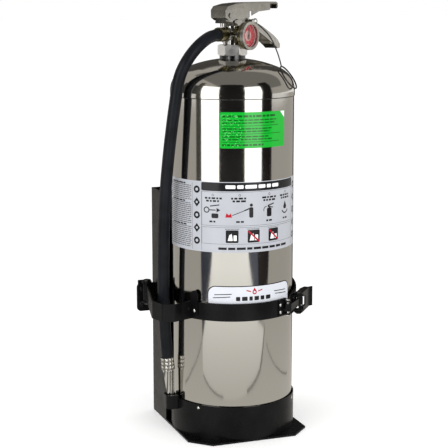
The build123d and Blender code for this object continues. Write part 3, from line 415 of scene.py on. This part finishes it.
class Film:
    """Flat closed shapes in printed layers, in millimetres across and up, laid on a surface."""

    def __init__(self, middle, low, inks):
        self.bm = bmesh.new()
        self.middle, self.low, self.inks = middle, low, inks
        self.place()

    def place(self, x=0.0, y=0.0, scale=1.0):
        """Where the next shapes' own zero is, and their scale."""
        self.zero, self.scale = (self.middle + x, self.low + y), scale

    def shape(self, points, ink, layer=1):
        """A closed plate of this outline. Layer 0 is the film itself."""
        bottom = 0.01 * MM if layer == 0 else FILM_T - INK_T
        top = FILM_T + layer * INK_T
        at = [((self.zero[0] + self.scale * x) * MM, (self.zero[1] + self.scale * y) * MM) for x, y in points]
        under = [self.bm.verts.new((x, y, bottom)) for x, y in at]
        over = [self.bm.verts.new((x, y, top)) for x, y in at]
        faces = [self.bm.faces.new(over), self.bm.faces.new(under[::-1])]
        count = len(at)
        for i in range(count):
            j = (i + 1) % count
            faces.append(self.bm.faces.new((under[i], under[j], over[j], over[i])))
        for face in faces:
            face.material_index = self.inks.index(ink)

    def bar(self, left, right, low, high, ink, layer=1, corner=0.0):
        if not corner:
            self.shape([(left, low), (right, low), (right, high), (left, high)], ink, layer)
            return
        points = []
        for cx, cy, start in ((right - corner, low + corner, -90), (right - corner, high - corner, 0),
                              (left + corner, high - corner, 90), (left + corner, low + corner, 180)):
            for turn in range(0, 91, 18):
                a = math.radians(start + turn)
                points.append((cx + corner * math.cos(a), cy + corner * math.sin(a)))
        self.shape(points, ink, layer)

    def disc(self, x, y, radius, ink, layer=1, sides=20):
        turns = [math.tau * i / sides for i in range(sides)]
        self.shape([(x + radius * math.cos(a), y + radius * math.sin(a)) for a in turns], ink, layer)

    def stroke(self, x0, y0, x1, y1, width, ink, layer=1):
        across = Vector((y0 - y1, x1 - x0)).normalized() * width / 2
        a, b = Vector((x0, y0)), Vector((x1, y1))
        self.shape([a + across, a - across, b - across, b + across], ink, layer)

    def arc(self, x, y, radius, width, start, end, ink, layer=1, pieces=20):
        """A band round part of a circle, in short plates."""
        turns = [math.radians(start + (end - start) * i / pieces) for i in range(pieces + 1)]
        for a, b in zip(turns, turns[1:]):
            corners = []
            for turn, r in ((a, radius), (a, radius + width), (b, radius + width), (b, radius)):
                corners.append((x + r * math.cos(turn), y + r * math.sin(turn)))
            self.shape(corners, ink, layer)

    def words(self, left, right, y, height, ink, rng, longest=5.0):
        """A row of plain blocks that stands for a line of small print."""
        x = left
        while x < right - height:
            end = min(right, x + rng.uniform(0.35, 1) * longest)
            self.bar(x, end, y, y + height, ink)
            x = end + 0.5 * height + 0.25

    def lay(self, name, node, body, place, step=None):
        """Ends the film: cuts it every step across, lays it with place() and puts it in the node's stead."""
        if step:
            across = [v.co.x for v in self.bm.verts]
            cut = min(across) + step
            while cut < max(across):
                everything = self.bm.verts[:] + self.bm.edges[:] + self.bm.faces[:]
                bmesh.ops.bisect_plane(self.bm, geom=everything, plane_co=(cut, 0, 0), plane_no=(1, 0, 0))
                cut += step
        bmesh.ops.recalc_face_normals(self.bm, faces=self.bm.faces)
        for vert in self.bm.verts:
            vert.co = place(*vert.co)
        for face in self.bm.faces:
            face.smooth = True
        mesh = bpy.data.meshes.new(name)
        for ink in self.inks:
            mesh.materials.append(MATERIALS[ink].material)
        self.bm.to_mesh(mesh)
        self.bm.free()
        mesh.set_sharp_from_angle(angle=math.radians(30))
        obj = new_object(name, mesh, body)
        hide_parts(node)


def squeeze_pictogram(film):
    """A plain canister with a lever."""
    film.bar(-3, 3, -6, 3, "ink_black", 1, 1.2)
    film.bar(-1, 1, 3, 5, "ink_black")
    film.stroke(-2, 5.4, 6, 7.4, 1.3, "ink_black")
    film.stroke(-2, 4.6, 5, 3.2, 1.1, "ink_black")
    film.arc(-3.2, 1.2, 3.2, 0.8, 90, 200, "ink_black", pieces=8)


def pull_pictogram(film):
    """A ring on a pin, and an arrow, over a canister's top."""
    film.arc(-7, 2, 2.2, 1.1, 0, 360, "ink_black", pieces=20)
    film.stroke(-3.9, 2, 3, 2, 1.0, "ink_black")
    film.shape([(4, -0.4), (8, 2), (4, 4.4)], "ink_black")
    film.bar(-1.5, 6, -6.5, -1.5, "ink_black", 1, 1.4)
    film.stroke(-3, 6, 7, 7.6, 1.1, "ink_black")


def aim_pictogram(film):
    """A jet from the right towards a low shape at the left."""
    film.shape([(-15, -5.5), (-8, -5.5), (-9, -1), (-11, -3), (-13.8, -1)], "ink_red")
    film.stroke(-8, -3.4, 5, 1.6, 0.7, "ink_black")
    film.stroke(5, 1.6, 11, 4, 1.3, "ink_black")
    film.bar(10, 14.5, -6, 5, "ink_black", 1, 1.6)
    film.disc(12.3, 7.2, 1.7, "ink_black")


def sweep_pictogram(film):
    """A drop over a short arc."""
    film.shape([(0, 8), (3, 2), (1.8, -0.5), (-1.8, -0.5), (-3, 2)], "ink_black")
    film.arc(0, 1, 5.2, 1.3, 205, 335, "ink_black", pieces=10)


def class_square(film, x, low, crossed, rng):
    """An 18 mm square with a plain white shape, crossed out or not."""
    film.bar(x - 9, x + 9, low, low + 18, "ink_black", 1, 1.6)
    film.shape([(x - 6, low + 3), (x + 1, low + 3), (x - 0.5, low + 13), (x - 4, low + 11)], "ink_white", 2)
    film.bar(x + 2, x + 6.5, low + 3, low + rng.uniform(9, 13), "ink_white", 2, 0.8)
    if crossed:
        film.stroke(x - 8, low + 16.5, x + 8, low + 1.5, 2.2, "ink_red", 3)


def instruction_film():
    """The large label: a black heading, four pictograms, three class squares and columns of small print."""
    rng = random.Random(7)
    film = Film(0, 277, ["label", "ink_black", "ink_grey", "ink_red", "ink_white"])
    left, right = math.radians(-100) * SHELL_R / MM, math.radians(107) * SHELL_R / MM
    film.bar(left, right, 0, 100, "label", 0, 3)
    film.bar(-77.6, 78.5, 87, 99, "ink_black", 1, 2.5)
    x = -42
    for width in (14, 9, 17, 11, 7, 12):
        film.bar(x, x + width, 90.6, 95.6, "ink_white", 2, 1.2)
        x += width + 2.4
    for low, high in ((38, 85.5), (12, 35.5)):
        for edge in (low, high):
            film.bar(-77, 78, edge, edge + 0.35, "ink_black")
        for side in (-77, 77.65):
            film.bar(side, side + 0.35, low, high + 0.35, "ink_black")
    pictograms = ((-58, pull_pictogram), (-20, aim_pictogram), (25, squeeze_pictogram), (58, sweep_pictogram))
    for x, draw in pictograms:
        film.arc(x - 2, 81.5, 1.2, 0.5, 0, 360, "ink_black", pieces=12)
        for row in range(2):
            film.words(x - 14 + 2 * row, x + 11 - 2 * row, 75.6 - 3.9 * row, 2.6, "ink_black", rng, longest=7)
        film.place(x - 2, 57.5, 1.35)
        draw(film)
        film.place()
        film.words(x - 7, x + 5, 42.6, 2.5, "ink_black", rng, longest=7)
    for x, crossed in ((-32.6, False), (-1.6, True), (31, True)):
        class_square(film, x, 14, crossed, rng)
        film.words(x - 10, x + 10, 33, 0.9, "ink_grey", rng)
    film.words(-52, 62, 4.0, 3.4, "ink_black", rng, longest=14)
    for middle in (-85.3, 86):
        for row, shape in enumerate("RBRBR"):
            y = 88 - 18.2 * row
            if shape == "R":
                film.arc(middle, y, 2.3, 2.9, 0, 360, "ink_black", pieces=20)
            else:
                diamond = [(middle, y + 6.6), (middle - 5.4, y), (middle, y - 6.6), (middle + 5.4, y)]
                film.shape(diamond, "ink_black")
                film.disc(middle, y, 1.8, "label", 2, 10)
        for side in (-8.1, 7.6):
            film.bar(middle + side, middle + side + 0.35, 2, 98, "ink_black")
    for start, end in ((left + 3, -95), (95.5, right - 3)):
        for row in range(33):
            if row not in (0, 9, 21):
                film.words(start, end, 94.5 - 2.8 * row, 1.35, "ink_grey", rng, longest=9)
            else:
                film.words(start + 8, end - 10, 94 - 2.8 * row, 2.0, "ink_black", rng, longest=12)
    film.lay("instruction_film", "instruction_label", "extinguisher", on_cylinder, FILM_STEP)


def inspection_film():
    """The green label, with a folded white corner."""
    rng = random.Random(3)
    film = Film(0, 424, ["green_label", "ink_green", "bubble_glint_green", "ink_white", "ink_grey"])
    left, right = math.radians(-32) * SHELL_R / MM, math.radians(34) * SHELL_R / MM
    film.bar(left, right, 0, 50, "green_label", 0, 1.5)
    lines = ((43, 2.8, 16), (38.2, 1.7, 16), (34.2, 1.7, 20), (26.2, 1.8, 24), (22.4, 1.8, 30),
             (15.2, 1.8, 32), (11.4, 1.8, 26), (3.2, 2.6, 40))
    for y, height, short in lines:
        film.words(left + 3, right - short, y, height, "ink_green", rng, longest=9)
    for y, short in ((30.6, 14), (19.4, 10), (8.2, 12)):
        film.bar(left + 1.5, right - short, y, y + 0.8, "ink_green")
    # Pale green specks over the label's left part: painted glints of small bubbles under the film.
    for _ in range(110):
        u, v = rng.uniform(2, 30), rng.uniform(2, 47)
        film.disc(left + u, v, rng.uniform(0.3, 0.75), "bubble_glint_green", 2, 8)
    film.shape([(right - 10, 49.5), (right - 0.6, 40), (right - 0.6, 49.5)], "ink_white", 2)
    film.stroke(right - 10.2, 49.2, right - 0.9, 39.8, 0.6, "ink_grey", 3)
    film.lay("inspection_film", "inspection_label", "extinguisher", on_cylinder, FILM_STEP)


def badge_film():
    """The white badge under the band: a dark border, a plain drop and a row of blocks."""
    film = Film(0, 180, ["badge", "ink_black", "ink_red", "ink_grey"])
    half = math.radians(44) * SHELL_R / MM
    film.bar(-half, half, 0, 49, "ink_black", 0, 12)
    film.bar(1.3 - half, half - 1.3, 1.3, 47.7, "badge", 1, 11)
    film.arc(0, 39.5, 1.6, 1.7, 0, 360, "ink_red", 2, 24)
    film.shape([(0, 46), (-2.8, 41.6), (2.8, 41.6)], "ink_red", 2)
    for side in (-1, 1):
        film.stroke(side * 5.5, 40.5, side * 12, 42.5, 1.6, "ink_red", 2)
        film.stroke(side * 33, 37.5, side * 58, 36, 1.2, "ink_black", 2)
        film.stroke(side * 35, 33.5, side * 60, 31.5, 1.2, "ink_black", 2)
    x = -27
    for width in (6, 8, 5, 7, 6, 8):
        film.bar(x, x + width, 27.5, 33.5, "ink_black", 2, 1)
        x += width + 2.6
    film.lay("badge_film", "badge_label", "extinguisher", on_cylinder, FILM_STEP)


def dial_face():
    """The gauge's dial: a red ring, and ticks round a pale middle."""
    low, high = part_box("gauge_dial")
    radius = (high.z - low.z) / 2 / MM
    middle_z = (high.z + low.z) / 2
    across = Vector((math.cos(VALVE_TURN), math.sin(VALVE_TURN), 0))
    dial = nodes["gauge_dial"]
    front = max(GAUGE_AXIS.dot(dial.matrix_world @ v.co) for v in dial.data.vertices)
    back = GAUGE_AXIS * (front - FILM_T)

    def place(u, v, w):
        return back + across * u + Vector((0, 0, middle_z + v)) + GAUGE_AXIS * w

    film = Film(0, 0, ["gauge_dial", "ink_red", "ink_pink"])
    film.disc(0, 0, radius, "gauge_dial", 0, 64)
    film.arc(0, 0, 0.42 * radius, 0.54 * radius, 0, 360, "ink_red", 1, 64)
    film.disc(0, 0, 0.42 * radius, "ink_pink", 1, 40)
    for turn in range(-40, 221, 20):
        a = math.radians(turn)
        inner, outer = (0.68 if turn % 40 else 0.62) * radius, 0.8 * radius
        film.stroke(inner * math.cos(a), inner * math.sin(a), outer * math.cos(a), outer * math.sin(a),
                    0.45, "ink_pink", 3)
    film.bar(-3, 3, -0.72 * radius, -0.66 * radius, "ink_pink", 3)
    film.lay("dial_face", "gauge_dial", BODY_OF["gauge_dial"], place)


# ---------------------------------------------------------------- cords
def cord_tube(name, points, diameter, body, slot, node):
    """A round tube along a smooth line through these places, and the line's own points."""
    curve = bpy.data.curves.new(name, "CURVE")
    curve.dimensions = "3D"
    spline = curve.splines.new("NURBS")
    spline.points.add(len(points) - 1)
    for point, place in zip(spline.points, points):
        point.co = (*place, 1)
    spline.order_u = 3
    spline.use_endpoint_u = True
    spline.resolution_u = 16
    spline.use_smooth = True
    guide = bpy.data.objects.new(name + "_guide", curve)
    scene.collection.objects.link(guide)

    def drawn():
        guide.update_tag()
        bpy.context.view_layer.update()
        return bpy.data.meshes.new_from_object(guide.evaluated_get(bpy.context.evaluated_depsgraph_get()))

    line = drawn()
    path = [tuple(v.co) for v in line.vertices]
    curve.bevel_depth = diameter / 2
    curve.bevel_resolution = 8
    curve.use_fill_caps = True
    tube = drawn()
    bpy.data.objects.remove(guide)
    bm = bmesh.new()
    bm.from_mesh(tube)
    bmesh.ops.remove_doubles(bm, verts=bm.verts, dist=0.001 * MM)
    for face in bm.faces:
        face.smooth = len(face.verts) == 4
    bm.to_mesh(tube)
    bm.free()
    obj = new_object(name, tube, body)
    paint(obj, slot)
    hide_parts(node)
    return obj, path


# ---------------------------------------------------------------- camera, floor and light
CAMERA_PLACE = (-0.668, -1.752, 0.634)
CAMERA_TILT = 79.97                    # degrees up from straight down
CAMERA_AZ = -20.5
CAMERA_LENS, CAMERA_SENSOR = 104.4, 36
FLOOR_REACH = 30
BOX_DISTANCE = 2.0
BOX_HEIGHT = 1.6
BOX_RADIANCE = 1.9
FLAG_HEIGHT = 2.2
REFLECTED_ROOM = (0.47, 0.45, 0.415)   # what polished metal sees where nothing else stands


def set_camera():
    data = bpy.data.cameras.new("camera")
    data.lens = CAMERA_LENS
    data.sensor_width = CAMERA_SENSOR
    camera = bpy.data.objects.new("camera", data)
    camera.location = CAMERA_PLACE
    camera.rotation_euler = (math.radians(CAMERA_TILT), 0, math.radians(CAMERA_AZ))
    scene.collection.objects.link(camera)
    scene.camera = camera


def round_the_object(relative_azimuth, distance):
    """A point on the floor at this azimuth from the camera's own direction."""
    a = math.radians(CAMERA_AZ + relative_azimuth)
    return Vector((math.sin(a) * distance, -math.cos(a) * distance, 0))


def softbox(name, az_from, az_to):
    """An upright area light on the floor, that faces the object between these azimuths from the camera's."""
    middle = (az_from + az_to) / 2
    width = 2 * BOX_DISTANCE * math.tan(math.radians((az_to - az_from) / 2))
    light = bpy.data.lights.new(name, "AREA")
    light.shape = "RECTANGLE"
    light.size = width
    light.size_y = BOX_HEIGHT
    light.energy = BOX_RADIANCE * math.pi * width * BOX_HEIGHT
    obj = bpy.data.objects.new(name, light)
    place = round_the_object(middle, BOX_DISTANCE)
    obj.location = (place.x, place.y, BOX_HEIGHT / 2)
    direction = -Vector((place.x, place.y, 0))
    obj.rotation_euler = direction.to_track_quat("-Z", "Y").to_euler()
    scene.collection.objects.link(obj)


def emission(name, near_color, far_color=None, near=0.2, far=1.2):
    """A card's glow, which may change with the distance from the object."""
    material = bpy.data.materials.new(name)
    material.use_nodes = True
    tree = material.node_tree
    tree.nodes.remove(tree.nodes["Principled BSDF"])
    glow = tree.nodes.new("ShaderNodeEmission")
    glow.inputs["Color"].default_value = (*near_color, 1)
    if far_color:
        place = tree.nodes.new("ShaderNodeTexCoord")
        length = tree.nodes.new("ShaderNodeVectorMath")
        length.operation = "LENGTH"
        tree.links.new(place.outputs["Object"], length.inputs[0])
        share = tree.nodes.new("ShaderNodeMapRange")
        share.inputs["From Min"].default_value = near
        share.inputs["From Max"].default_value = far
        tree.links.new(length.outputs["Value"], share.inputs["Value"])
        mix = tree.nodes.new("ShaderNodeMix")
        mix.data_type = "RGBA"
        mix.inputs["A"].default_value = (*near_color, 1)
        mix.inputs["B"].default_value = (*far_color, 1)
        tree.links.new(share.outputs["Result"], mix.inputs["Factor"])
        tree.links.new(mix.outputs["Result"], glow.inputs["Color"])
    tree.links.new(glow.outputs["Emission"], tree.nodes["Material Output"].inputs["Surface"])
    return material


def card(name, corners, *glow):
    """A flat card that only shows in reflections."""
    mesh = bpy.data.meshes.new(name)
    mesh.from_pydata([tuple(c) for c in corners], [], [tuple(range(len(corners)))])
    mesh.materials.append(emission(name, *glow))
    obj = bpy.data.objects.new(name, mesh)
    scene.collection.objects.link(obj)
    obj.visible_camera = False
    obj.visible_diffuse = False
    obj.visible_shadow = False


def upright_card(name, az_from, az_to, low, high, distance, color):
    a, b = round_the_object(az_from, distance), round_the_object(az_to, distance)
    up = Vector((0, 0, 1))
    card(name, [a + up * low, b + up * low, b + up * high, a + up * high], color)


def on_floor(right, toward, lift):
    """A place over the floor, from metres to the camera's right and metres towards it."""
    a = math.radians(CAMERA_AZ)
    x = right * math.cos(a) + toward * math.sin(a)
    y = right * math.sin(a) - toward * math.cos(a)
    return Vector((x, y, lift))


def floor_card(name, points, lift, *glow):
    card(name, [on_floor(x, y, lift) for x, y in points], *glow)


def floor_line(name, points, color, width=9 * MM):
    """A thin line on the floor through these places."""
    for i, (start, end) in enumerate(zip(points, points[1:])):
        a, b = Vector(start), Vector(end)
        across = Vector((a.y - b.y, b.x - a.x)).normalized() * width / 2
        floor_card(f"{name}_{i}", [a + across, a - across, b - across, b + across], 4 * MM, color)


def set_world():
    """White to look at, and REFLECTED_ROOM in reflections."""
    world = bpy.data.worlds.new("studio")
    scene.world = world
    world.use_nodes = True
    tree = world.node_tree
    background = tree.nodes["Background"]
    path = tree.nodes.new("ShaderNodeLightPath")
    mix = tree.nodes.new("ShaderNodeMix")
    mix.data_type = "RGBA"
    mix.inputs["A"].default_value = (1.0, 1.0, 1.0, 1)
    mix.inputs["B"].default_value = (*REFLECTED_ROOM, 1)
    tree.links.new(path.outputs["Is Glossy Ray"], mix.inputs["Factor"])
    tree.links.new(mix.outputs["Result"], background.inputs["Color"])


def set_floor():
    mesh = bpy.data.meshes.new("floor")
    s = FLOOR_REACH
    mesh.from_pydata([(-s, -s, 0), (s, -s, 0), (s, s, 0), (-s, s, 0)], [], [(0, 1, 2, 3)])
    floor = bpy.data.objects.new("floor", mesh)
    scene.collection.objects.link(floor)
    pale = Maker("floor", (0.90, 0.90, 0.90), 0.0, 0.7, Emission_Color=(1, 1, 1, 1), Emission_Strength=0.2)
    mesh.materials.append(pale.material)


def set_reflections():
    """Cards that give the polished steel the stripes and wedges of a studio round it."""
    upright_card("front_flag", -24.6, 22, 0.0, FLAG_HEIGHT, BOX_DISTANCE + 0.1, (0.012, 0.012, 0.012))
    upright_card("left_flag", -69.5, -58.4, 0.0, FLAG_HEIGHT, BOX_DISTANCE, (0.07, 0.07, 0.06))
    upright_card("right_flag", 54, 75.6, 0.0, FLAG_HEIGHT, BOX_DISTANCE, (0.012, 0.010, 0.010))
    whole_floor = [(-6, -6), (6, -6), (6, 6), (-6, 6)]
    floor_card("reflected_floor", whole_floor, 1 * MM, (0.58, 0.56, 0.52), REFLECTED_ROOM, 0.25, 1.1)
    # Most points of the next four cards and four lines were not chosen by hand. A scratch script printed
    # them: it traced places read off the photograph, by the cylinder's mirror, to the floor.
    bright_floor = [
        (-1.20, 1.58), (-0.868, 1.147), (-0.686, 0.676), (-0.51, 0.364), (-0.31, 0.247), (-0.07, 0.274),
        (0.126, 0.284), (0.323, 0.28), (0.606, 0.356), (0.57, 0.523), (0.654, 0.888), (0.698, 1.262),
        (0.963, 1.742),
    ]
    floor_card("bright_floor", bright_floor, 2 * MM, (0.64, 0.62, 0.58), (1.2, 1.2, 1.17), 0.28, 1.3)
    left_wedge = [
        (-1.70, 0.99), (-1.229, 0.718), (-0.806, 0.512), (-0.63, 0.425), (-0.51, 0.364), (-0.591, 0.484),
        (-0.686, 0.676), (-0.868, 1.147), (-1.20, 1.58),
    ]
    floor_card("left_wedge", left_wedge, 3 * MM, (0.03, 0.036, 0.055))
    right_wedge = [
        (0.963, 1.742), (0.698, 1.262), (0.654, 0.888), (0.57, 0.523), (0.818, 0.729), (1.043, 0.983),
        (1.44, 1.357),
    ]
    floor_card("right_wedge", right_wedge, 3 * MM, (0.10, 0.11, 0.14))
    right_dark_wedge = [
        (1.44, 1.357), (1.043, 0.983), (0.818, 0.729), (0.57, 0.523), (0.604, 0.48), (0.999, 0.413),
        (1.333, 0.473), (1.84, 0.653),
    ]
    floor_card("right_dark_wedge", right_dark_wedge, 3 * MM, (0.025, 0.020, 0.020))
    line_color = (0.10, 0.09, 0.08)
    front_right = [(0.60, 0.50), (0.606, 0.356), (0.323, 0.28), (0.126, 0.284)]
    floor_line("line_front_right", front_right, line_color, 16 * MM)
    floor_line("line_left", [(-0.51, 0.364), (-0.384, 0.107), (-0.306, 0.004)], line_color)
    floor_line("line_front_left", [(-0.309, 0.247), (-0.07, 0.274)], line_color)
    floor_line("line_right", [(0.514, 0.262), (0.38, -0.009), (0.293, -0.147)], line_color)
    overhead = [on_floor(x, y, 2.4) for x, y in ((-1.5, -1.0), (6.0, -1.6), (6.0, 4.5), (-1.5, 4.5))]
    card("overhead_flag", overhead, (0.21, 0.203, 0.19))
    upright_card("back_flag", 154, 206, 0.0, 2.6, 3.0, (0.07, 0.066, 0.06))
    upright_card("left_high_flag", -105, -69.5, 0.42, 1.5, BOX_DISTANCE, (0.05, 0.05, 0.048))
    dark_behind = [(-1.46, -3.0), (-0.12, -0.2), (0.12, -0.2), (1.46, -3.0)]
    floor_card("floor_behind", dark_behind, 3 * MM, (0.07, 0.066, 0.06))


def set_stage():
    scene.view_settings.view_transform = "Standard"
    set_camera()
    set_world()
    set_floor()
    softbox("left_softbox", -58.4, -24.6)
    softbox("right_softbox", 22, 54)
    set_reflections()


CORD_NODES = ("hose", "pull_pin_tether")


def main():
    set_stage()
    for name, obj in nodes.items():
        if name not in CORD_NODES:
            paint(obj, SLOT_OF[name])
    hose, path = cord_tube("hose_line", HOSE, HOSE_DIAMETER, "extinguisher", "rubber", "hose")
    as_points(path)
    tether, path = cord_tube("tether_line", TETHER, TETHER_DIAMETER, "pin", "spring_steel", "pull_pin_tether")
    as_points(path)
    paint(nodes["low_ferrule"], "crimped_chrome")
    paint(nodes["nozzle"], "turned_chrome")
    paint(nodes["pull_ring"], "dark_steel")
    paint(nodes["gauge_bezel"], "dull_bezel")
    for node, width in SOFT_NODES.items():
        softened(node, width * MM)
    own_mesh(nodes["return_spring"])
    seam_bead_painted_shade()
    instruction_film()
    inspection_film()
    badge_film()
    dial_face()


main()
bpy.context.view_layer.update()
